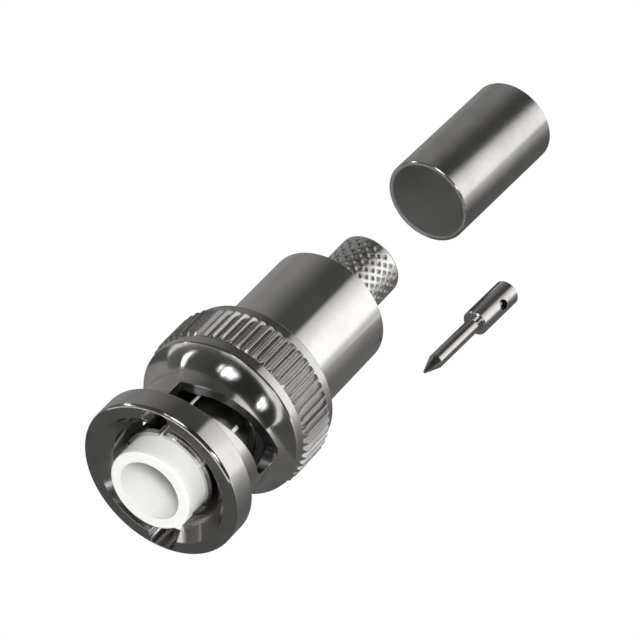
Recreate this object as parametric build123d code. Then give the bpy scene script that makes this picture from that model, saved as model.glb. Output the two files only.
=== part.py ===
from build123d import *
import os
from math import atan, cos, degrees, radians, sin, sqrt

# Crimp plug for high-voltage coaxial cable, laid out as a kit.
# The plug's axis is the Y axis, with the mating mouth facing -Y.
# The origin is on that axis, at the plane of the coupling nut's front face.
# A "station" is a distance along Y from that plane. All sizes are in millimetres.

# Coupling nut, outside
RING_RADIUS = 7.25
RING_LENGTH = 2.42
RING_EDGE_ROUND = 0.32
RING_REAR_CHAMFER = 0.08
WAIST_RADIUS = 5.9
FLARE_LENGTH = 2.1
FLARE_STEP = 0.04
FRONT_RIM_LENGTH = 1.0
FRONT_RIM_HEIGHT = 0.2
REAR_RIM_LENGTH = 1.05
RIM_CHAMFER = 0.15
KNURL_LENGTH = 3.9
KNURL_STEP = 0.4
KNURL_WALL = 0.95
KNURL_DEPTH = 0.45
KNURL_COUNT = 57
KNURL_TURN = 5.0
KNURL_TIP_SHARE = 0.14
KNURL_ROOT_SHARE = 0.12
KNURL_END_CHAMFER = 0.28

# Coupling nut, inside
MOUTH_RADIUS = 5.0
COUNTERSINK_WIDTH = 1.05
COUNTERSINK_DEPTH = 0.95
SHOULDER_STATION = 10.4
WASHER_SEAT_WIDTH = 0.72
RETAINING_RING_LENGTH = 1.2
LIP_LENGTH = 0.3
LIP_OVERHANG = 0.23

# Bayonet slots of the nut: an entry groove, a helical run and a round seat
SLOT_COUNT = 2
SLOT_WIDTH = 2.65
SLOT_ENTRY_ANGLE = 91.5
SLOT_ENTRY_WIDTH = 2.66
SLOT_ENTRY_ROUND = 0.9
SLOT_WALL = 0.27
SLOT_START_STATION = 4.25
SLOT_TURN = 90.0
SLOT_RISE = 2.35

# Plug body, outside
FLANGE_LENGTH = 1.0
SLEEVE_LENGTH = 1.6
BARREL_LENGTH = 14.25
BARREL_CHAMFER = 0.12
STEM_RADIUS = 2.92
STEM_LENGTH = 7.15
STEM_CHAMFER = 0.42

# Plug body, inside
CONTACT_SEAT_DEPTH = 4.6
BORE_REAR_WALL = 2.0
STEM_BORE_RADIUS = 1.95

# Pits pressed into the crimp stem, in rows along it, each row half a pitch on from the last
PIT_ROWS = 38
PIT_PITCH = 1.02
PIT_WIDTH = 0.62
PIT_DEPTH = 0.17
PIT_LIFT = 0.03
PIT_FLAT_SHARE = 0.94
PIT_PLAIN_FRONT = 0.45
PIT_PLAIN_REAR = 0.75

# Slotted outer contact
CONTACT_WALL = 0.35
CONTACT_FRONT = 1.0
FINGER_COUNT = 6
FINGER_SLOT_WIDTH = 0.36
FINGER_SLOT_LENGTH = 5.6
FINGER_SLOT_ANGLE = 35.5
FINGER_BULGE = 0.06
FINGER_RELIEF = 0.1
FINGER_TIP_LENGTH = 0.3
FINGER_BULGE_LENGTH = 0.6
FINGER_NECK_LENGTH = 0.8

# Insulators
INSULATOR_RADIUS = 3.7
INSULATOR_FRONT = -1.4
INSULATOR_EDGE_ROUND = 0.15
INSULATOR_SOCKET_RADIUS = 2.75
INSULATOR_SOCKET_DEPTH = 10.4
INSULATOR_WEB = 2.0
INSULATOR_COLLAR_LENGTH = 1.0
INSULATOR_TAIL_LENGTH = 1.6
PIN_SEAT_DEPTH = 1.3

# Gasket, spring washers and the parts that hold the nut
GASKET_LENGTH = 0.8
GASKET_STEP = 0.07
SPRING_BOW = 0.6
SPRING_THICKNESS = 0.2
THRUST_WASHER_THICKNESS = 0.35

# Loose contact pin
PIN_RADIUS = 0.665
PIN_LENGTH = 7.79
PIN_CONE_LENGTH = 1.7
PIN_TIP_RADIUS = 0.13
PIN_BARREL_RADIUS = 1.175
PIN_BARREL_LENGTH = 5.28
PIN_SHOULDER_ROUND = 0.14
PIN_WIRE_RADIUS = 0.6
PIN_WIRE_DEPTH = 4.6
PIN_HOLE_RADIUS = 0.5
PIN_HOLE_FROM_REAR = 2.23
PIN_HOLE_ANGLE = 26.0

# Loose crimp ferrule
FERRULE_RADIUS = 4.03
FERRULE_WALL = 0.4
FERRULE_LENGTH = 14.12
FERRULE_EDGE = 0.08

# Where the loose pieces lie: centre of the front end, and the turn from the plug's axis
FERRULE_X = -2.57
FERRULE_GAP = 13.94
FERRULE_TURN = 2.1
PIN_X = 7.32
PIN_TIP_BEFORE_REAR = 3.35
PIN_TURN = 2.74

# Clearances
RUNNING_CLEARANCE = 0.07
WASHER_CLEARANCE = 0.1
SLEEVE_CLEARANCE = 0.15
SLIP_CLEARANCE = 0.05
PIN_CLEARANCE = 0.05

# Stations of the body, and of what holds the nut on it
BODY_FRONT = SHOULDER_STATION - SLEEVE_LENGTH
FLANGE_REAR = SHOULDER_STATION + FLANGE_LENGTH
BARREL_REAR = FLANGE_REAR + BARREL_LENGTH
STEM_REAR = BARREL_REAR + STEM_LENGTH
THRUST_FRONT = FLANGE_REAR + 2 * (SPRING_BOW + SPRING_THICKNESS)
THRUST_REAR = THRUST_FRONT + THRUST_WASHER_THICKNESS
LIP_STATION = THRUST_REAR + RETAINING_RING_LENGTH
NUT_LENGTH = LIP_STATION + LIP_LENGTH

# Stations of the nut's outside, counted back from its rear end
KNURL_END = NUT_LENGTH - REAR_RIM_LENGTH
KNURL_START = KNURL_END - KNURL_LENGTH
FLARE_END = KNURL_START - FRONT_RIM_LENGTH
FLARE_START = FLARE_END - FLARE_LENGTH

# Radii, from the bar that the nut is turned from inwards
KNURL_TIP_RADIUS = RING_RADIUS + KNURL_STEP
KNURL_ROOT_RADIUS = KNURL_TIP_RADIUS - KNURL_DEPTH
CAVITY_RADIUS = KNURL_ROOT_RADIUS - KNURL_WALL
FLANGE_RADIUS = CAVITY_RADIUS - SLEEVE_CLEARANCE
LIP_RADIUS = CAVITY_RADIUS - LIP_OVERHANG
BARREL_RADIUS = CAVITY_RADIUS - WASHER_SEAT_WIDTH
FRONT_RIM_RADIUS = KNURL_ROOT_RADIUS + FRONT_RIM_HEIGHT
SLEEVE_RADIUS = MOUTH_RADIUS - SLEEVE_CLEARANCE
GASKET_RADIUS = SLEEVE_RADIUS - GASKET_STEP
COUNTERSINK_RADIUS = MOUTH_RADIUS + COUNTERSINK_WIDTH
SLOT_FLOOR_RADIUS = RING_RADIUS - SLOT_WALL
FLOOR_Z = -KNURL_TIP_RADIUS

# The insulators and the contact round them
INSULATOR_BORE_RADIUS = INSULATOR_RADIUS + SLIP_CLEARANCE
CONTACT_BORE_RADIUS = INSULATOR_BORE_RADIUS
CONTACT_RADIUS = CONTACT_BORE_RADIUS + CONTACT_WALL
SEAT_STATION = BODY_FRONT + CONTACT_SEAT_DEPTH
CONTACT_REAR = SEAT_STATION - INSULATOR_COLLAR_LENGTH
INSULATOR_SPLIT = SEAT_STATION + INSULATOR_TAIL_LENGTH
DIELECTRIC_STATION = INSULATOR_SPLIT + PIN_SEAT_DEPTH
INSULATOR_REAR = BARREL_REAR - BORE_REAR_WALL
SOCKET_FLOOR = INSULATOR_FRONT + INSULATOR_SOCKET_DEPTH
WEB_REAR = SOCKET_FLOOR + INSULATOR_WEB

# How far a cutter reaches past what it cuts
OVERCUT = 1.0

# Looks along +Y, so that a sketch on it is a section across the plug
ACROSS = Plane(origin=(0, 0, 0), x_dir=(1, 0, 0), z_dir=(0, 1, 0))


def turned(*edges):
    """A solid of revolution about Y from edges given as (radius, station)."""
    return revolve(make_face(Curve() + list(edges)), Axis.Y)


def turned_outline(*points):
    """A solid of revolution about Y from a closed outline of straight lines."""
    return turned(Polyline(*points, close=True))


def tube(inner, outer, front, rear):
    """A plain ring or tube on the Y axis."""
    return turned_outline((inner, front), (outer, front), (outer, rear), (inner, rear))


def around(solid, angle):
    """Turn a solid about the plug's axis, from +X towards +Z."""
    return solid.rotate(Axis.Y, -angle)


def nut_blank():
    """The turned nut before knurling and slotting."""
    flare_end_radius = FRONT_RIM_RADIUS - FLARE_STEP
    rise = flare_end_radius - WAIST_RADIUS
    flare_round = (rise**2 + FLARE_LENGTH**2) / (2 * rise)
    half = FLARE_LENGTH / 2
    flare_middle = (WAIST_RADIUS + flare_round - sqrt(flare_round**2 - half**2), FLARE_START + half)
    ring_corner = RING_RADIUS - RING_EDGE_ROUND
    ring_edge = CenterArc((ring_corner, RING_EDGE_ROUND), RING_EDGE_ROUND, 0, -90)
    front = Polyline((COUNTERSINK_RADIUS, 0), (ring_corner, 0))
    ring = Polyline(
        (RING_RADIUS, RING_EDGE_ROUND),
        (RING_RADIUS, RING_LENGTH - RING_REAR_CHAMFER),
        (RING_RADIUS - RING_REAR_CHAMFER, RING_LENGTH),
        (WAIST_RADIUS, RING_LENGTH),
        (WAIST_RADIUS, FLARE_START),
    )
    flare = ThreePointArc((WAIST_RADIUS, FLARE_START), flare_middle, (flare_end_radius, FLARE_END))
    rims_and_inside = Polyline(
        (flare_end_radius, FLARE_END),
        (FRONT_RIM_RADIUS, FLARE_END + RIM_CHAMFER),
        (FRONT_RIM_RADIUS, KNURL_START),
        (KNURL_ROOT_RADIUS, KNURL_START),
        (KNURL_ROOT_RADIUS, NUT_LENGTH - RIM_CHAMFER),
        (KNURL_ROOT_RADIUS - RIM_CHAMFER, NUT_LENGTH),
        (LIP_RADIUS, NUT_LENGTH),
        (LIP_RADIUS, LIP_STATION),
        (CAVITY_RADIUS, LIP_STATION),
        (CAVITY_RADIUS, SHOULDER_STATION),
        (MOUTH_RADIUS, SHOULDER_STATION),
        (MOUTH_RADIUS, COUNTERSINK_DEPTH),
        (COUNTERSINK_RADIUS, 0),
    )
    return turned(front, ring_edge, ring, flare, rims_and_inside)


def knurl_ridges():
    """Straight V-shaped ridges with narrow tops and chamfered ends, as one ring."""
    pitch = 360.0 / KNURL_COUNT
    tip = pitch * KNURL_TIP_SHARE / 2
    root = pitch * (1 - KNURL_ROOT_SHARE) / 2
    corners = []
    for ridge in range(KNURL_COUNT):
        for angle, radius in (
            (-root, KNURL_ROOT_RADIUS),
            (-tip, KNURL_TIP_RADIUS),
            (tip, KNURL_TIP_RADIUS),
            (root, KNURL_ROOT_RADIUS),
        ):
            turn = radians(ridge * pitch + angle - KNURL_TURN)
            corners.append((radius * cos(turn), radius * sin(turn)))
    section = make_face(Polyline(*corners, close=True))
    ridges = extrude(ACROSS.location * Pos(0, 0, KNURL_START) * section, KNURL_LENGTH)
    bed = (CAVITY_RADIUS + KNURL_ROOT_RADIUS) / 2
    envelope = turned_outline(
        (bed, KNURL_START),
        (KNURL_TIP_RADIUS - KNURL_END_CHAMFER, KNURL_START),
        (KNURL_TIP_RADIUS, KNURL_START + KNURL_END_CHAMFER),
        (KNURL_TIP_RADIUS, KNURL_END - KNURL_END_CHAMFER),
        (KNURL_TIP_RADIUS - KNURL_END_CHAMFER, KNURL_END),
        (bed, KNURL_END),
    )
    return ridges & envelope


def bayonet_cutter():
    """One bayonet slot: a groove from the mouth, a helix and the seat at its end."""
    half = SLOT_WIDTH / 2
    inner = MOUTH_RADIUS - OVERCUT
    depth = SLOT_FLOOR_RADIUS - inner
    middle = inner + depth / 2
    groove_length = SLOT_START_STATION + half + OVERCUT
    groove_section = Pos(middle, 0, -OVERCUT) * RectangleRounded(depth, SLOT_ENTRY_WIDTH, SLOT_ENTRY_ROUND)
    groove = extrude(groove_section, groove_length)
    corner = Pos(middle, 0, SLOT_START_STATION) * Box(depth, SLOT_ENTRY_WIDTH, SLOT_WIDTH)
    path = Helix(pitch=SLOT_RISE * 360 / SLOT_TURN, height=SLOT_RISE, radius=middle)
    section = Plane(origin=(middle, 0, 0), x_dir=(1, 0, 0), z_dir=(0, -1, 0)) * Rectangle(depth, SLOT_WIDTH)
    helix = Pos(0, 0, SLOT_START_STATION) * sweep(section, path=path, is_frenet=True)
    seat = Pos(middle, 0, SLOT_START_STATION + SLOT_RISE) * Rot(0, 90, 0) * Cylinder(half, depth)
    cutter = groove + corner + helix + Rot(0, 0, SLOT_TURN) * seat
    return ACROSS.location * Rot(0, 0, -SLOT_ENTRY_ANGLE) * cutter


def coupling_nut():
    nut = nut_blank() + knurl_ridges()
    cutter = bayonet_cutter()
    for slot in range(SLOT_COUNT):
        nut -= around(cutter, slot * 360 / SLOT_COUNT)
    return nut


def stem_pits():
    """Small four-sided pits all round the crimp stem, pointing at its axis."""
    scale = 1 + PIT_LIFT / PIT_DEPTH
    side = PIT_WIDTH / sqrt(2) * scale
    slope = degrees(atan(side / (2 * (PIT_DEPTH + PIT_LIFT))))
    square = Rectangle(side, side, rotation=45)
    pit = extrude(square, (PIT_DEPTH + PIT_LIFT) * PIT_FLAT_SHARE, taper=slope)
    pit = Pos(STEM_RADIUS + PIT_LIFT, 0, 0) * Rot(0, -90, 0) * pit
    first = BARREL_REAR + PIT_PLAIN_FRONT
    room = STEM_LENGTH - PIT_PLAIN_FRONT - PIT_PLAIN_REAR
    pits = []
    for row in range(PIT_ROWS):
        offset = PIT_PITCH / 2 * (row % 2)
        for place in range(int((room - offset) / PIT_PITCH) + 1):
            station = first + offset + place * PIT_PITCH
            turn = row * 360 / PIT_ROWS
            pits.append(ACROSS.location * Pos(0, 0, station) * Rot(0, 0, turn) * pit)
    return pits


def plug_body():
    """Sleeve, flange, barrel and crimp stem, turned in one piece."""
    body = turned_outline(
        (CONTACT_RADIUS, BODY_FRONT),
        (SLEEVE_RADIUS, BODY_FRONT),
        (SLEEVE_RADIUS, SHOULDER_STATION),
        (FLANGE_RADIUS, SHOULDER_STATION),
        (FLANGE_RADIUS, FLANGE_REAR),
        (BARREL_RADIUS, FLANGE_REAR),
        (BARREL_RADIUS, BARREL_REAR - BARREL_CHAMFER),
        (BARREL_RADIUS - BARREL_CHAMFER, BARREL_REAR),
        (STEM_RADIUS, BARREL_REAR),
        (STEM_RADIUS, STEM_REAR - STEM_CHAMFER),
        (STEM_RADIUS - STEM_CHAMFER, STEM_REAR),
        (STEM_BORE_RADIUS, STEM_REAR),
        (STEM_BORE_RADIUS, INSULATOR_REAR),
        (INSULATOR_BORE_RADIUS, INSULATOR_REAR),
        (INSULATOR_BORE_RADIUS, SEAT_STATION),
        (CONTACT_RADIUS, SEAT_STATION),
    )
    return body - stem_pits()


def outer_contact():
    """The sleeve of spring fingers round the insulator, pressed into the body."""
    tip = CONTACT_FRONT + FINGER_TIP_LENGTH
    neck = tip + FINGER_BULGE_LENGTH
    outer = CONTACT_RADIUS + FINGER_BULGE
    sleeve = turned_outline(
        (CONTACT_BORE_RADIUS, CONTACT_FRONT),
        (CONTACT_RADIUS - FINGER_RELIEF, CONTACT_FRONT),
        (outer, tip),
        (outer, neck),
        (CONTACT_RADIUS - FINGER_RELIEF, neck + FINGER_NECK_LENGTH),
        (CONTACT_RADIUS - FINGER_RELIEF, BODY_FRONT - GASKET_LENGTH),
        (CONTACT_RADIUS, BODY_FRONT - GASKET_LENGTH),
        (CONTACT_RADIUS, CONTACT_REAR),
        (CONTACT_BORE_RADIUS, CONTACT_REAR),
    )
    reach = outer + OVERCUT
    slot = Box(reach, FINGER_SLOT_LENGTH + OVERCUT, FINGER_SLOT_WIDTH)
    slot = Pos(reach / 2, CONTACT_FRONT + (FINGER_SLOT_LENGTH - OVERCUT) / 2, 0) * slot
    for finger in range(FINGER_COUNT):
        sleeve -= around(slot, FINGER_SLOT_ANGLE + finger * 360 / FINGER_COUNT)
    return sleeve


def front_insulator():
    """The white nose: a deep blind socket, and a web that the pin passes through."""
    corner = INSULATOR_RADIUS - INSULATOR_EDGE_ROUND
    edge_station = INSULATOR_FRONT + INSULATOR_EDGE_ROUND
    collar_radius = CONTACT_RADIUS - SLIP_CLEARANCE
    barrel_bore = PIN_BARREL_RADIUS + PIN_CLEARANCE
    pin_bore = PIN_RADIUS + PIN_CLEARANCE
    edge = CenterArc((corner, edge_station), INSULATOR_EDGE_ROUND, 0, -90)
    outline = Polyline(
        (INSULATOR_RADIUS, edge_station),
        (INSULATOR_RADIUS, CONTACT_REAR),
        (collar_radius, CONTACT_REAR),
        (collar_radius, SEAT_STATION),
        (INSULATOR_RADIUS, SEAT_STATION),
        (INSULATOR_RADIUS, INSULATOR_SPLIT),
        (barrel_bore, INSULATOR_SPLIT),
        (barrel_bore, WEB_REAR),
        (pin_bore, WEB_REAR),
        (pin_bore, SOCKET_FLOOR),
        (INSULATOR_SOCKET_RADIUS, SOCKET_FLOOR),
        (INSULATOR_SOCKET_RADIUS, INSULATOR_FRONT),
        (corner, INSULATOR_FRONT),
    )
    return turned(edge, outline)


def rear_insulator():
    """The bush behind the nose, bored for the pin's barrel and the cable's core."""
    barrel_bore = PIN_BARREL_RADIUS + PIN_CLEARANCE
    return turned_outline(
        (barrel_bore, INSULATOR_SPLIT),
        (INSULATOR_RADIUS, INSULATOR_SPLIT),
        (INSULATOR_RADIUS, INSULATOR_REAR),
        (STEM_BORE_RADIUS, INSULATOR_REAR),
        (STEM_BORE_RADIUS, DIELECTRIC_STATION),
        (barrel_bore, DIELECTRIC_STATION),
    )


def gasket():
    """The soft ring that the mating shell presses on, against the body's front face."""
    return tube(CONTACT_RADIUS, GASKET_RADIUS, BODY_FRONT - GASKET_LENGTH, BODY_FRONT)


def bowed_washer(crown, edge):
    """A thin washer bent about a line: its middle at station crown, its sides at edge."""
    outer = FLANGE_RADIUS - SLIP_CLEARANCE
    inner = BARREL_RADIUS + WASHER_CLEARANCE
    thickness = SPRING_THICKNESS if edge > crown else -SPRING_THICKNESS
    near = ThreePointArc((-outer, edge - thickness), (0, crown), (outer, edge - thickness))
    far = ThreePointArc((-outer, edge), (0, crown + thickness), (outer, edge))
    sides = [Line(near @ 0, far @ 0), Line(near @ 1, far @ 1)]
    strip = extrude(make_face(Curve() + [near, far] + sides), outer, both=True)
    return strip & tube(inner, outer, FLANGE_REAR - OVERCUT, THRUST_REAR + OVERCUT)


def spring_washer_front():
    """The bowed washer whose middle bears on the body's flange."""
    return bowed_washer(FLANGE_REAR, FLANGE_REAR + SPRING_BOW + SPRING_THICKNESS)


def spring_washer_rear():
    """The bowed washer back to back with the front one, its middle on the thrust washer."""
    return bowed_washer(THRUST_FRONT, FLANGE_REAR + SPRING_BOW + SPRING_THICKNESS)


def thrust_washer():
    """The flat washer that carries the nut's pull to the springs."""
    inner = BARREL_RADIUS + WASHER_CLEARANCE
    return tube(inner, CAVITY_RADIUS - WASHER_CLEARANCE, THRUST_FRONT, THRUST_REAR)


def nut_retaining_ring():
    """The plain ring in the nut's rear that the nut's lip is rolled over."""
    inner = BARREL_RADIUS + RUNNING_CLEARANCE
    return tube(inner, CAVITY_RADIUS, THRUST_REAR, LIP_STATION)


def contact_pin():
    """The loose centre contact, lying on its barrel beside the plug."""
    barrel_front = PIN_LENGTH
    rear = PIN_LENGTH + PIN_BARREL_LENGTH
    pin = turned_outline(
        (0, 0),
        (PIN_TIP_RADIUS, 0),
        (PIN_RADIUS, PIN_CONE_LENGTH),
        (PIN_RADIUS, barrel_front),
        (PIN_BARREL_RADIUS - PIN_SHOULDER_ROUND, barrel_front),
        (PIN_BARREL_RADIUS, barrel_front + PIN_SHOULDER_ROUND),
        (PIN_BARREL_RADIUS, rear - PIN_SHOULDER_ROUND),
        (PIN_BARREL_RADIUS - PIN_SHOULDER_ROUND, rear),
        (PIN_WIRE_RADIUS, rear),
        (PIN_WIRE_RADIUS, rear - PIN_WIRE_DEPTH),
        (0, rear - PIN_WIRE_DEPTH),
    )
    reach = PIN_BARREL_RADIUS + OVERCUT
    hole = Pos(reach / 2, rear - PIN_HOLE_FROM_REAR, 0) * Rot(0, 90, 0) * Cylinder(PIN_HOLE_RADIUS, reach)
    pin -= around(hole, PIN_HOLE_ANGLE)
    tip = STEM_REAR - PIN_TIP_BEFORE_REAR
    return Pos(PIN_X, tip, FLOOR_Z + PIN_BARREL_RADIUS) * Rot(0, 0, -PIN_TURN) * pin


def crimp_ferrule():
    """The loose ferrule, a thin tube lying behind the plug's stem."""
    inner = FERRULE_RADIUS - FERRULE_WALL
    ferrule = turned_outline(
        (inner + FERRULE_EDGE, 0),
        (FERRULE_RADIUS - FERRULE_EDGE, 0),
        (FERRULE_RADIUS, FERRULE_EDGE),
        (FERRULE_RADIUS, FERRULE_LENGTH - FERRULE_EDGE),
        (FERRULE_RADIUS - FERRULE_EDGE, FERRULE_LENGTH),
        (inner + FERRULE_EDGE, FERRULE_LENGTH),
        (inner, FERRULE_LENGTH - FERRULE_EDGE),
        (inner, FERRULE_EDGE),
    )
    place = Pos(FERRULE_X, STEM_REAR + FERRULE_GAP, FLOOR_Z + FERRULE_RADIUS)
    return place * Rot(0, 0, -FERRULE_TURN) * ferrule


PIECES = (
    coupling_nut,
    nut_retaining_ring,
    thrust_washer,
    spring_washer_front,
    spring_washer_rear,
    plug_body,
    outer_contact,
    gasket,
    front_insulator,
    rear_insulator,
    contact_pin,
    crimp_ferrule,
)

os.makedirs("parts", exist_ok=True)
for piece in PIECES:
    export_step(piece(), f"parts/{piece.__name__}.step")
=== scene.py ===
import bpy
import numpy as np
from math import pi, radians
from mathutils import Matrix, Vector


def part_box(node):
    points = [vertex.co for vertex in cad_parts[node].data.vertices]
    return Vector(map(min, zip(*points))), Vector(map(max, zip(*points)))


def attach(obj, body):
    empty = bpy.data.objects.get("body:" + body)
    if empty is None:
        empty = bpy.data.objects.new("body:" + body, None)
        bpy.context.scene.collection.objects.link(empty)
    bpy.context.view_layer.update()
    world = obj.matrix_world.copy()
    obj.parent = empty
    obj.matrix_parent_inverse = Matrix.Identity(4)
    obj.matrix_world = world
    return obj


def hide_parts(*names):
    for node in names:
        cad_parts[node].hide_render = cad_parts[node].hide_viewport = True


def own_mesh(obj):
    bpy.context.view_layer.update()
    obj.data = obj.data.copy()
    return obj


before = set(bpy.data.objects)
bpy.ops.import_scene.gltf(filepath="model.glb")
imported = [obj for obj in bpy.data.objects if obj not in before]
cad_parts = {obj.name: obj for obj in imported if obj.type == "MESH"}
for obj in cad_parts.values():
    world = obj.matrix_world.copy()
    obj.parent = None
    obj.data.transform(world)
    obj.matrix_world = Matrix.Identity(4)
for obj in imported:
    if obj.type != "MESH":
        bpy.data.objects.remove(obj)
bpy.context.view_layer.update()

# The camera and reflections see it as an even white without a shadow, as in the photograph. To
# the lamps it is matt card, which throws a little light back up.
MM = 0.001
FLOOR_Z = min(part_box(name)[0].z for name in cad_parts)
FLOOR_HALF = 1500 * MM
WHITE_CARD = "#ffffff"
MATT_CARD = "#f4f4f4"


def linear(hex_colour, alpha=1.0):
    """An sRGB hex colour as linear light: each channel by the sRGB curve."""
    channels = [int(hex_colour[i:i + 2], 16) / 255 for i in (1, 3, 5)]
    return [c / 12.92 if c <= 0.04045 else ((c + 0.055) / 1.055) ** 2.4 for c in channels] + [alpha]


def node(tree, kind, inputs=None, **settings):
    """Adds a shader node with its settings, and its inputs as values or as links from outputs.

    A Mix node takes its numbers at inputs 2 and 3, or its colours at 6 and 7, and gives the mixed
    number at output 0, or the mixed colour at output 2."""
    made = tree.nodes.new(kind)
    for name, value in settings.items():
        setattr(made, name, value)
    for name, value in (inputs or {}).items():
        if isinstance(value, bpy.types.NodeSocket):
            tree.links.new(value, made.inputs[name])
        else:
            made.inputs[name].default_value = value
    return made


def empty_material(name):
    """A material with nothing in its node tree, and that tree."""
    material = bpy.data.materials.new(name)
    material.use_nodes = True
    material.node_tree.nodes.clear()
    return material, material.node_tree


def seen(tree):
    """1 for a ray from the camera, from a reflection or through glass, and 0 for any other."""
    path = node(tree, "ShaderNodeLightPath")
    direct = node(tree, "ShaderNodeMath", {
        0: path.outputs["Is Camera Ray"], 1: path.outputs["Is Glossy Ray"]}, operation="MAXIMUM")
    direct = node(tree, "ShaderNodeMath", {
        0: direct.outputs[0], 1: path.outputs["Is Transmission Ray"]}, operation="MAXIMUM")
    return direct.outputs[0]


def surface(name, points, material, smooth=True, closed=False):
    """A mesh from a grid of points (rows, columns, 3): each four neighbours are a face.

    Closed joins the last row to the first, and the last column to the first."""
    rows, columns, _ = points.shape
    mesh = bpy.data.meshes.new(name)
    open_edge = 0 if closed else 1
    row, column = np.meshgrid(np.arange(rows - open_edge), np.arange(columns - open_edge), indexing="ij")
    below, following = (row + 1) % rows, (column + 1) % columns
    corners = [row * columns + column, row * columns + following,
               below * columns + following, below * columns + column]
    faces = np.stack(corners, axis=-1).reshape(-1, 4)
    mesh.vertices.add(rows * columns)
    mesh.vertices.foreach_set("co", points.astype(np.float32).ravel())
    mesh.loops.add(faces.size)
    mesh.loops.foreach_set("vertex_index", faces.astype(np.int32).ravel())
    mesh.polygons.add(len(faces))
    mesh.polygons.foreach_set("loop_start", np.arange(0, faces.size, 4, dtype=np.int32))
    mesh.polygons.foreach_set("use_smooth", np.full(len(faces), smooth))
    mesh.update(calc_edges=True)
    mesh.validate()
    mesh.materials.append(material)
    piece = bpy.data.objects.new(name, mesh)
    bpy.context.scene.collection.objects.link(piece)
    return piece


def flat_card(name, left, right, front, rear, height, material):
    """A level rectangle: x from left to right, y from front to rear, at one height."""
    x, y = np.meshgrid([left, right], [front, rear])
    return surface(name, np.stack([x, y, np.full_like(x, height)], axis=-1), material)


floor_material, tree = empty_material("white_card_floor")
white_glow = node(tree, "ShaderNodeEmission", {"Color": linear(WHITE_CARD), "Strength": 1.0})
matt_card = node(tree, "ShaderNodeBsdfDiffuse", {"Color": linear(MATT_CARD)})
shown = node(tree, "ShaderNodeMixShader", {0: seen(tree), 1: matt_card.outputs[0], 2: white_glow.outputs[0]})
node(tree, "ShaderNodeOutputMaterial", {"Surface": shown.outputs[0]})
flat_card("floor", -FLOOR_HALF, FLOOR_HALF, -FLOOR_HALF, FLOOR_HALF, FLOOR_Z, floor_material)

# Bright nickel shows its form by what it mirrors, so they carry the greys that are to be seen in
# it: a softbox on the right, dark above and grey on the left.
CARD_RADIUS = 260 * MM
CARD_FRONT, CARD_SPLIT, CARD_REAR = -600 * MM, 120 * MM, 900 * MM
# In degrees up from the right, so that both ends lie just under the floor
CARD_LOW, CARD_HIGH = -1.7, 181.7
CARD_STEPS = 49
# Behind this station the greys slant round by so many degrees a millimetre
SLANT_START = 250 * MM
CARD_SLANT = 0.3
# The share of the light that nickel gives back: the cards glow so much more that a grey shows in
# it about as it is written
NICKEL_SHARE = 0.72
CARD_GLOW = 1 / NICKEL_SHARE
# Each stop is the degrees up from the right and the grey there
REAR_GREYS = ((-2, "#f0f0f0"), (30, "#f0f0f0"), (62, "#b8b8b8"), (67, "#404040"), (105, "#383838"),
              (150, "#707070"), (182, "#707070"))
FRONT_GREYS = ((-2, "#2a2a2a"), (100, "#2a2a2a"), (182, "#585858"))


def glowing(tree, colour, glow):
    """Ends a material in an even glow of that colour."""
    shader = node(tree, "ShaderNodeEmission", {"Color": colour, "Strength": glow})
    node(tree, "ShaderNodeOutputMaterial", {"Surface": shader.outputs[0]})


def graded(tree, value, greys):
    """A colour that runs through (place, hex colour) stops as the value goes from place to place."""
    low, high = greys[0][0], greys[-1][0]
    place = node(tree, "ShaderNodeMapRange", {"Value": value, "From Min": low, "From Max": high})
    ramp = node(tree, "ShaderNodeValToRGB", {"Fac": place.outputs[0]})
    stops = ramp.color_ramp.elements
    stops[0].color, stops[1].color = linear(greys[0][1]), linear(greys[-1][1])
    for stop, colour in greys[1:-1]:
        stops.new((stop - low) / (high - low)).color = linear(colour)
    return ramp.outputs["Color"]


def graded_wall(name, greys):
    """A grey that goes with the angle round the plug: a quarter turn less the lean from upright."""
    material, tree = empty_material(name)
    where = node(tree, "ShaderNodeTexCoord")
    apart = node(tree, "ShaderNodeSeparateXYZ", {"Vector": where.outputs["Object"]})
    lean = node(tree, "ShaderNodeMath", {0: apart.outputs["X"], 1: apart.outputs["Z"]}, operation="ARCTAN2")
    degrees = node(tree, "ShaderNodeMath", {0: lean.outputs[0], 1: -180 / pi, 2: 90.0},
                   operation="MULTIPLY_ADD")
    behind = node(tree, "ShaderNodeMath", {0: apart.outputs["Y"], 1: SLANT_START}, operation="SUBTRACT")
    behind = node(tree, "ShaderNodeMath", {0: behind.outputs[0], 1: 0.0}, operation="MAXIMUM")
    slanted = node(tree, "ShaderNodeMath", {0: behind.outputs[0], 1: CARD_SLANT / MM, 2: degrees.outputs[0]},
                   operation="MULTIPLY_ADD")
    glowing(tree, graded(tree, slanted.outputs[0], greys), CARD_GLOW)
    return material


def reflected_only(card):
    """Only reflections see this card: it gives no light, casts no shadow and isn't in the picture."""
    card.visible_camera = False
    card.visible_diffuse = False
    card.visible_transmission = False
    card.visible_shadow = False


def bent_card(name, front, rear, greys):
    """A card bent about the plug's axis: x and z are the card's radius by the cosine and sine of a
    turn from the floor on the right to the floor on the left, and y goes from front to rear."""
    turn = np.radians(np.linspace(CARD_LOW, CARD_HIGH, CARD_STEPS))
    ring = np.stack([CARD_RADIUS * np.cos(turn), np.zeros(CARD_STEPS), CARD_RADIUS * np.sin(turn)], axis=-1)
    ends = np.array([front, rear])[:, None, None] * np.array([0, 1, 0])
    reflected_only(surface(name, ring[None] + ends, graded_wall(name, greys)))


bent_card("rear_wall", CARD_SPLIT, CARD_REAR, REAR_GREYS)
bent_card("front_wall", CARD_FRONT, CARD_SPLIT, FRONT_GREYS)

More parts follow.
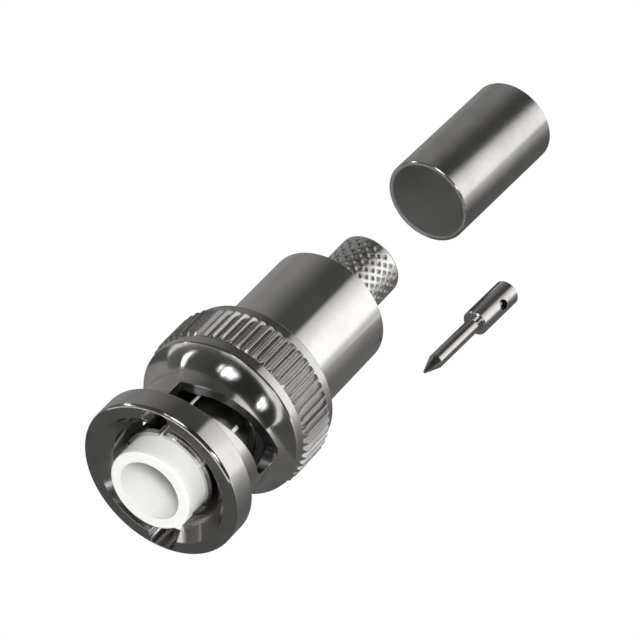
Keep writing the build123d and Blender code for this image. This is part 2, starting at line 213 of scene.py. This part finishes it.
# Four sheets of painted shade on the white card, which only reflections see: the floor's shade
# round the kit, as the nickel mirrors it. A dark one under the nut's mouth, a grey one on the left,
# one that goes from grey to pale on the right, and on top of these one by the ferrule.
SHADE_LIFT = 0.05 * MM
SHADE_FRONT, SHADE_NOSE, SHADE_REAR = -40 * MM, 3 * MM, 300 * MM
SHADE_MIDDLE = 0.0
FRONT_SHADE_GREY = "#565656"
LEFT_SHADE_GREY = "#7a7a7a"
# Left, right, front and rear
FERRULE_SHADE_EDGES = (-2.4 * MM, 34 * MM, 44 * MM, 82 * MM)
# Each stop is the millimetres from the sheet's left edge and the grey of painted shade there
RIGHT_SHADE_GREYS = ((0, "#585858"), (12, "#585858"), (40, "#a8a8a8"), (110, "#e8e8e8"), (260, "#e8e8e8"))
FERRULE_SHADE_GREYS = ((0, "#505050"), (8, "#505050"), (16, "#888888"), (36, "#bcbcbc"))


def plain_card(name, colour, glow=1.0):
    """A card of one colour."""
    material, tree = empty_material(name)
    glowing(tree, linear(colour), glow)
    return material


def graded_card(name, greys, axis, start):
    """A flat card whose grey goes with the distance along an axis from a start, in millimetres."""
    material, tree = empty_material(name)
    where = node(tree, "ShaderNodeTexCoord")
    apart = node(tree, "ShaderNodeSeparateXYZ", {"Vector": where.outputs["Object"]})
    away = node(tree, "ShaderNodeMath", {0: apart.outputs[axis], 1: start}, operation="SUBTRACT")
    distance = node(tree, "ShaderNodeMath", {0: away.outputs[0], 1: MM}, operation="DIVIDE")
    glowing(tree, graded(tree, distance.outputs[0], greys), CARD_GLOW)
    return material


def shade_sheet(material, left, right, front, rear, layer=1):
    """A level sheet of painted shade that lies a hair above the floor, or so many layers above it."""
    reflected_only(flat_card(material.name, left, right, front, rear, FLOOR_Z + layer * SHADE_LIFT, material))


# Painted shade of the floor round the kit, seen only in reflections
shade_sheet(plain_card("front_painted_shade", FRONT_SHADE_GREY), -CARD_RADIUS, CARD_RADIUS, SHADE_FRONT, SHADE_NOSE)
shade_sheet(plain_card("left_painted_shade", LEFT_SHADE_GREY, CARD_GLOW), -CARD_RADIUS, SHADE_MIDDLE, SHADE_NOSE, SHADE_REAR)
shade_sheet(graded_card("right_painted_shade", RIGHT_SHADE_GREYS, "X", SHADE_MIDDLE), SHADE_MIDDLE, CARD_RADIUS, SHADE_NOSE, SHADE_REAR)
shade_sheet(graded_card("ferrule_painted_shade", FERRULE_SHADE_GREYS, "X", FERRULE_SHADE_EDGES[0]), *FERRULE_SHADE_EDGES, layer=2)

# The end card: it stands across the bent cards' front ends, white just above the floor and dark
# from there up, for the nut's front face and the edges that look forward to mirror.
# Each stop is the millimetres above the floor and the grey there
END_GREYS = ((0, "#f4f4f4"), (70, "#f4f4f4"), (90, "#2e2e2e"), (270, "#2e2e2e"))
end_x, end_z = np.meshgrid([-CARD_RADIUS, CARD_RADIUS], [FLOOR_Z, CARD_RADIUS])
end = np.stack([end_x, np.full_like(end_x, CARD_FRONT), end_z], axis=-1)
reflected_only(surface("end_card", end, graded_card("end_card", END_GREYS, "Z", FLOOR_Z)))

# Three lamp faces, which only reflections see: they make the glints on the nut's flare and on
# rounded edges. Each is long in the plane through the plug's axis, soft at its edge and streaked
# by its louvres.
LAMP_DISTANCE = 200 * MM
LAMP_FACES = (("lamp_overhead", (-0.05, -0.41, 0.91), 62, 110, 7.0),
              ("lamp_front_right", (0.8, -0.42, 0.45), 34, 110, 7.0),
              ("lamp_left", (-0.89, -0.15, 0.42), 16, 150, 8.0))
# The share of the way out to the edge at which a face starts to fade
LAMP_CORE = 0.15
LOUVRE_WIDTH = 9 * MM
LOUVRE_DETAIL = 2.0
# The noise's values at which a louvre is shut and open, and the share of the glow when shut
LOUVRE_SHUT, LOUVRE_OPEN = 0.46, 0.58
LOUVRE_LEAK = 0.03


def lamp_face(name, direction, half_width, half_length, glow):
    """Its glow fades to nothing at the ellipse that just fits in it, and in streaks along it
    goes up and down with a noise."""
    towards = Vector(direction).normalized()
    across = towards.cross(Vector((0, 1, 0))).normalized()
    upward = across.cross(towards)
    middle = towards * LAMP_DISTANCE
    wide, long = across * half_width * MM, upward * half_length * MM
    square = np.array([[middle - wide - long, middle + wide - long],
                       [middle - wide + long, middle + wide + long]])
    material, tree = empty_material(name)
    where = node(tree, "ShaderNodeTexCoord")
    off = node(tree, "ShaderNodeVectorMath", {0: where.outputs["Object"], 1: middle}, operation="SUBTRACT")
    aside = node(tree, "ShaderNodeVectorMath", {0: off.outputs[0], 1: across / (half_width * MM)},
                 operation="DOT_PRODUCT")
    above = node(tree, "ShaderNodeVectorMath", {0: off.outputs[0], 1: upward / (half_length * MM)},
                 operation="DOT_PRODUCT")
    out = node(tree, "ShaderNodeCombineXYZ", {0: aside.outputs["Value"], 1: above.outputs["Value"]})
    out = node(tree, "ShaderNodeVectorMath", {0: out.outputs[0]}, operation="LENGTH")
    fade = node(tree, "ShaderNodeMapRange", {
        "Value": out.outputs["Value"], "From Min": LAMP_CORE, "From Max": 1.0, "To Min": 1.0, "To Max": 0.0},
        interpolation_type="SMOOTHSTEP")
    louvres = node(tree, "ShaderNodeTexNoise", {
        "W": aside.outputs["Value"], "Scale": half_width * MM / LOUVRE_WIDTH, "Detail": LOUVRE_DETAIL},
        noise_dimensions="1D")
    streaks = node(tree, "ShaderNodeMapRange", {
        "Value": louvres.outputs[0], "From Min": LOUVRE_SHUT, "From Max": LOUVRE_OPEN,
        "To Min": LOUVRE_LEAK * glow, "To Max": glow})
    clear = node(tree, "ShaderNodeBsdfTransparent")
    face = node(tree, "ShaderNodeEmission", {"Color": linear(WHITE_CARD), "Strength": streaks.outputs[0]})
    lit = node(tree, "ShaderNodeMixShader", {0: fade.outputs[0], 1: clear.outputs[0], 2: face.outputs[0]})
    node(tree, "ShaderNodeOutputMaterial", {"Surface": lit.outputs[0]})
    reflected_only(surface(name, square, material))


for lamp in LAMP_FACES:
    lamp_face(*lamp)

# The room round the card: an even white to the camera, to reflections and through glass, and a
# faint fill light to everything else.
FILL = 0.1
world = bpy.data.worlds.new("studio")
bpy.context.scene.world = world
world.use_nodes = True
tree = world.node_tree
tree.nodes.clear()
background = node(tree, "ShaderNodeBackground", {"Color": linear(WHITE_CARD), "Strength": 1.0})
fill = node(tree, "ShaderNodeBackground", {"Color": linear(WHITE_CARD), "Strength": FILL})
both = node(tree, "ShaderNodeMixShader", {0: seen(tree), 1: fill.outputs[0], 2: background.outputs[0]})
node(tree, "ShaderNodeOutputWorld", {"Surface": both.outputs[0]})

# They light what isn't plated, the white insulator above all. Reflections don't see them: what
# the nickel mirrors is the cards.
LAMP_AIM = Vector((0, 20 * MM, 0))
# Name, place and side in metres, and watts
SOFTBOXES = (("softbox_right", (0.35, 0.25, 0.45), 0.3, 2.8),
             ("softbox_left", (-0.3, -0.2, 0.5), 0.3, 0.4),
             ("softbox_front", (0.25, -0.32, 0.42), 0.12, 3.8))
for name, place, side, watts in SOFTBOXES:
    light = bpy.data.lights.new(name, "AREA")
    light.size = side
    light.energy = watts
    softbox = bpy.data.objects.new(name, light)
    softbox.location = place
    softbox.rotation_euler = (LAMP_AIM - Vector(place)).to_track_quat("-Z", "Y").to_euler()
    softbox.visible_glossy = False
    bpy.context.scene.collection.objects.link(softbox)

# Its place, turn and lens were fitted to the plug's circles and outlines. Degrees round to the
# right from the mouth's side, and degrees that it looks down
CAMERA_TURN = 31.496
CAMERA_DROP = 39.125
CAMERA_PLACE = (142.06 * MM, -207.36 * MM, 220.69 * MM)
CAMERA_NEAR = 10 * MM
LENS = 236.25
SENSOR = 36.0
camera_data = bpy.data.cameras.new("camera")
camera_data.lens = LENS
camera_data.sensor_width = SENSOR
camera_data.clip_start = CAMERA_NEAR
camera_data.dof.use_dof = False
camera = bpy.data.objects.new("camera", camera_data)
camera.location = CAMERA_PLACE
camera.rotation_euler = (radians(90 - CAMERA_DROP), 0, radians(CAMERA_TURN))
bpy.context.scene.collection.objects.link(camera)
bpy.context.scene.camera = camera
bpy.context.scene.view_settings.view_transform = "Standard"

# The body: sleeve, flange, barrel and crimp stem turned from one brass bar, the stem's pits pressed
# in by a patterned wheel, and nickel plated. The plate is bright and smooth, so the long barrel
# shows clear bands of light and dark.
# The plate's colour, and that of its duller patches
PLATE = ("#dcdbd8", "#cecdca")
# Spacings in millimetres, and how finely each noise breaks up. Real plate has a finer grain than
# this one, which is as coarse as it needs to be to show
TOOL_MARK, TOOL_MARK_DETAIL = 0.07, 3.0
GRAIN, GRAIN_DETAIL = 0.09, 2.0
PATCH, PATCH_DETAIL = 2.6, 4.0
MARK_DEPTH = 0.0016
GRAIN_DEPTH = 0.0016
# The noise's values where the grain is smoothest and roughest, and how many times the finish's own
# roughness it has there
GRAIN_LOW, GRAIN_HIGH = 0.3, 0.7
SMOOTHEST, ROUGHEST = 0.85, 1.2
# The noise's values where a patch has the plate's first colour and its second
PATCH_LOW, PATCH_HIGH = 0.35, 0.7
EDGE = 0.05
EDGE_SAMPLES = 6
# How far the turned rings draw a highlight out, and the quarter turn from them to that direction
DRAWN_OUT = 0.9
TURN_OF_GRAIN = 0.25


def nickel(name, roughness, turn=0.0, grain_depth=GRAIN_DEPTH, mark_depth=MARK_DEPTH, edge=EDGE,
           zone=None, hollow=None, drawn=DRAWN_OUT, plate=PLATE):
    """Nickel plate over turned brass, on an axis turned by so many degrees: clean and bright, with
    the fine rings that the tool left, a faint grain that breaks its highlights into specks, and
    edges broken to a small radius. Lengths are in millimetres.

    A zone of stations along Y, as (front, rear, roughness, edge radius), may have its own finish.
    Within the radius of a hollow, as (radius, axis x, axis z, front, colour, roughness), and behind
    its front station, the plate is rougher and takes that darker colour, which is painted shade."""
    material, tree = empty_material(name)
    where = node(tree, "ShaderNodeTexCoord")
    along = node(tree, "ShaderNodeMapping", {
        "Vector": where.outputs["Object"], "Rotation": (0, 0, radians(turn))})
    apart = node(tree, "ShaderNodeSeparateXYZ", {"Vector": along.outputs[0]})
    rings = node(tree, "ShaderNodeTexNoise", {
        "W": apart.outputs["Y"], "Scale": 1 / (TOOL_MARK * MM), "Detail": TOOL_MARK_DETAIL},
        noise_dimensions="1D")
    grain = node(tree, "ShaderNodeTexNoise", {
        "Vector": along.outputs[0], "Scale": 1 / (GRAIN * MM), "Detail": GRAIN_DETAIL})
    patches = node(tree, "ShaderNodeTexNoise", {
        "Vector": along.outputs[0], "Scale": 1 / (PATCH * MM), "Detail": PATCH_DETAIL})
    rounded = node(tree, "ShaderNodeBevel", {"Radius": edge * MM}, samples=EDGE_SAMPLES)
    rough = node(tree, "ShaderNodeMapRange", {
        "Value": grain.outputs[0], "From Min": GRAIN_LOW, "From Max": GRAIN_HIGH,
        "To Min": roughness * SMOOTHEST, "To Max": roughness * ROUGHEST})
    if zone:
        front, rear, zone_roughness, zone_edge = zone
        middle, half = (front + rear) / 2 * MM, (rear - front) / 2 * MM
        inside = node(tree, "ShaderNodeMath", {0: apart.outputs["Y"], 1: middle, 2: half},
                      operation="COMPARE")
        rough = node(tree, "ShaderNodeMix", {0: inside.outputs[0], 2: rough.outputs[0], 3: zone_roughness})
        wide = node(tree, "ShaderNodeMix", {0: inside.outputs[0], 2: edge * MM, 3: zone_edge * MM})
        tree.links.new(wide.outputs[0], rounded.inputs["Radius"])
    ringed = node(tree, "ShaderNodeBump", {
        "Height": rings.outputs[0], "Distance": mark_depth * MM, "Strength": 1.0,
        "Normal": rounded.outputs["Normal"]})
    grained = node(tree, "ShaderNodeBump", {
        "Height": grain.outputs[0], "Distance": grain_depth * MM, "Strength": 1.0,
        "Normal": ringed.outputs[0]})
    tone = node(tree, "ShaderNodeMapRange", {
        "Value": patches.outputs[0], "From Min": PATCH_LOW, "From Max": PATCH_HIGH})
    colour = node(tree, "ShaderNodeMix", {0: tone.outputs[0], 6: linear(plate[0]), 7: linear(plate[1])},
                  data_type="RGBA")
    if hollow:
        radius, axis_x, axis_z, front, bore_shade_colour, bore_roughness = hollow
        level = node(tree, "ShaderNodeVectorMath", {0: along.outputs[0], 1: (1, 0, 1)}, operation="MULTIPLY")
        away = node(tree, "ShaderNodeVectorMath", {0: level.outputs[0], 1: (axis_x * MM, 0, axis_z * MM)},
                    operation="DISTANCE")
        within = node(tree, "ShaderNodeMath", {0: away.outputs["Value"], 1: radius * MM},
                      operation="LESS_THAN")
        behind = node(tree, "ShaderNodeMath", {0: apart.outputs["Y"], 1: front * MM},
                      operation="GREATER_THAN")
        within = node(tree, "ShaderNodeMath", {0: within.outputs[0], 1: behind.outputs[0]},
                      operation="MULTIPLY")
        # Painted shade: within the bore the plate's colour gives way to a darker grey
        colour = node(tree, "ShaderNodeMix", {
            0: within.outputs[0], 6: colour.outputs[2], 7: linear(bore_shade_colour)}, data_type="RGBA")
        rough = node(tree, "ShaderNodeMix", {0: within.outputs[0], 2: rough.outputs[0], 3: bore_roughness})
    round_about = node(tree, "ShaderNodeTangent", direction_type="RADIAL", axis="Y")
    shader = node(tree, "ShaderNodeBsdfPrincipled", {
        "Base Color": colour.outputs[2], "Metallic": 1.0, "Roughness": rough.outputs[0],
        "Anisotropic": drawn, "Anisotropic Rotation": TURN_OF_GRAIN, "Tangent": round_about.outputs[0],
        "Normal": grained.outputs[0]})
    node(tree, "ShaderNodeOutputMaterial", {"Surface": shader.outputs[0]})
    return material


def finish_node(name, material):
    """Gives a CAD solid its finish."""
    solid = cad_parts[name]
    solid.data.materials.clear()
    solid.data.materials.append(material)


BODY_PLATE = ("#f0efec", "#e4e3e0")
BODY_ROUGHNESS = 0.11
BODY_GRAIN_DEPTH = 0.003
# The pitted stem's front and rear, roughness and edge radius
STEM_ZONE = (25.7, 32.9, 0.12, 0.26)
body_nickel = nickel("nickel_plate_body", BODY_ROUGHNESS, grain_depth=BODY_GRAIN_DEPTH, zone=STEM_ZONE,
                     plate=BODY_PLATE)
finish_node("plug_body", body_nickel)

# The outer contact: a thin bronze tube, slotted into spring fingers that bear on the inside of the
# jack's shell, and pressed into the body. Its nickel plate is a little duller than the body's.
FINGER_ROUGHNESS = 0.16
finish_node("outer_contact", nickel("nickel_plate_fingers", FINGER_ROUGHNESS))

# The insulators: white fluoropolymer turned from rod, a nose inside the outer contact and a bush
# behind it in the body. They are smooth and waxy, and a little translucent at the edges.
FLUOROPOLYMER = ("#e2e2e0", "#dadad8")
FLUOROPOLYMER_ROUGHNESS = 0.42
FLUOROPOLYMER_TEXTURE = 0.5
FLUOROPOLYMER_TRANSLUCENCY = 0.1
LIGHT_REACH = 0.25
TEXTURE_DETAIL = 3.0
TEXTURE_DEPTH = 0.002
TEXTURE_STRENGTH = 0.5


def unplated(name, colours, roughness, texture, translucency=0.0):
    """A slightly uneven plastic or rubber, with a faint texture of so many millimetres. Light
    reaches a little way into it where it is translucent, the same for each colour of light."""
    material, tree = empty_material(name)
    where = node(tree, "ShaderNodeTexCoord")
    uneven = node(tree, "ShaderNodeTexNoise", {
        "Vector": where.outputs["Object"], "Scale": 1 / (texture * MM), "Detail": TEXTURE_DETAIL})
    colour = node(tree, "ShaderNodeMix", {
        0: uneven.outputs[0], 6: linear(colours[0]), 7: linear(colours[1])}, data_type="RGBA")
    bump = node(tree, "ShaderNodeBump", {
        "Height": uneven.outputs[0], "Distance": TEXTURE_DEPTH * MM, "Strength": TEXTURE_STRENGTH})
    shader = node(tree, "ShaderNodeBsdfPrincipled", {
        "Base Color": colour.outputs[2], "Roughness": roughness, "Normal": bump.outputs[0],
        "Subsurface Weight": translucency, "Subsurface Radius": (1, 1, 1),
        "Subsurface Scale": LIGHT_REACH * MM})
    node(tree, "ShaderNodeOutputMaterial", {"Surface": shader.outputs[0]})
    return material


white = unplated("turned_fluoropolymer", FLUOROPOLYMER, FLUOROPOLYMER_ROUGHNESS, FLUOROPOLYMER_TEXTURE,
                 FLUOROPOLYMER_TRANSLUCENCY)
finish_node("rear_insulator", white)
finish_node("front_insulator", white)

# The gasket: a soft ring moulded of dark silicone rubber, with a dull skin. It is slipped over the
# outer contact up to the body's front face, where the jack's shell presses on it.
SILICONE = ("#2e2e2e", "#262626")
SILICONE_ROUGHNESS = 0.55
SILICONE_TEXTURE = 0.3
finish_node("gasket", unplated("moulded_silicone", SILICONE, SILICONE_ROUGHNESS, SILICONE_TEXTURE))

# The washers: bright spring steel strip, blanked, which looks like the plate but rougher. Two are
# pressed to a bow, stand back to back behind the body's flange, and flatten as the nut is pulled
# forward. The thrust washer behind them is flat and carries the nut's pull to them.
STRIP_ROUGHNESS = 0.3
WASHER_INNER, WASHER_OUTER = 5.63 * MM, 6.05 * MM
WASHER_STRIP = 0.2 * MM
WASHER_BOW = 0.6 * MM
WASHER_STEPS = 144
# Where the stack bears on the flange and on the thrust washer
STACK_SEAT, STACK_END = 11.4 * MM, 13.0 * MM
strip = nickel("bright_spring_strip", STRIP_ROUGHNESS)


def bowed_washer(name, node_name, crown, way):
    """A washer bent about a line: the station of each point is its crown's, moved along by an arc of
    the bow's rise over the washer's half width, and by the strip's thickness on its far face."""
    bend = (WASHER_OUTER ** 2 + WASHER_BOW ** 2) / (2 * WASHER_BOW)
    radius = np.array([WASHER_INNER, WASHER_OUTER, WASHER_OUTER, WASHER_INNER])[:, None]
    deep = np.array([0, 0, WASHER_STRIP, WASHER_STRIP])[:, None]
    turn = np.linspace(0, -way * 2 * pi, WASHER_STEPS, endpoint=False)[None]
    x, z = radius * np.cos(turn), radius * np.sin(turn)
    y = crown + way * (bend - np.sqrt(bend ** 2 - x ** 2) + deep)
    washer = surface(name, np.stack([x, y, z], axis=-1), strip, smooth=False, closed=True)
    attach(washer, "plug")
    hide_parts(node_name)
    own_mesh(washer)


bowed_washer("bowed_washer_front", "spring_washer_front", STACK_SEAT, 1)
bowed_washer("bowed_washer_rear", "spring_washer_rear", STACK_END, -1)
finish_node("thrust_washer", strip)

# The coupling nut: brass turned from bar, knurled, milled with its two bayonet slots and nickel
# plated. Its ridges are rougher and rounder than its turned faces. Inside its bore the plate is
# rougher and darker, and the darker grey is painted shade. The retaining ring, of plated brass
# too, holds it on the body from under its rolled rear lip.
NUT_ROUGHNESS = 0.14
NUT_EDGE = 0.07
# The knurl's front and rear, roughness and edge radius
KNURL_ZONE = (9.92, 13.78, 0.27, 0.17)
# The bore's radius, axis x and z, front, its darker grey of painted shade, and roughness
NUT_BORE_SHADE = (5.87, 0, 0, 2.5, "#8a8a88", 0.34)
nut_nickel = nickel("nickel_plate_nut", NUT_ROUGHNESS, edge=NUT_EDGE, zone=KNURL_ZONE, hollow=NUT_BORE_SHADE)
finish_node("coupling_nut", nut_nickel)
finish_node("nut_retaining_ring", nickel("nickel_plate_ring", NUT_ROUGHNESS))

# The loose contact pin: brass turned to a point and nickel plated, with a cross-drilled hole
# through which it is soldered to the cable's core. It lies turned a few degrees from the plug's
# axis, its tool marks are very shallow and its edges almost sharp.
PIN_TURN = 2.74
PIN_ROUGHNESS = 0.18
PIN_DEPTH = 0.0002
PIN_EDGE = 0.02
# Drawn-out highlights go by the plug's axis, so on a loose piece they are kept even
EVEN = 0
pin_nickel = nickel("nickel_plate_pin", PIN_ROUGHNESS, PIN_TURN, PIN_DEPTH, PIN_DEPTH, PIN_EDGE,
                    drawn=EVEN)
finish_node("contact_pin", pin_nickel)

# The loose crimp ferrule: a length of drawn, annealed copper-alloy tube, nickel plated. It lies
# turned a few degrees from the plug's axis. Its grain is deeper than the nut's, and its inside is
# rougher, with painted shade: a slightly darker grey.
FERRULE_TURN = 2.1
FERRULE_ROUGHNESS = 0.14
FERRULE_GRAIN_DEPTH = 0.004
# The bore's radius, axis x and z once turned, front, its darker grey of painted shade, and roughness
FERRULE_BORE_SHADE = (3.8, -4.28, -3.62, 0, "#d4d4d2", 0.6)
ferrule_nickel = nickel("nickel_plate_ferrule", FERRULE_ROUGHNESS, FERRULE_TURN, FERRULE_GRAIN_DEPTH,
                        hollow=FERRULE_BORE_SHADE, drawn=EVEN)
finish_node("crimp_ferrule", ferrule_nickel)
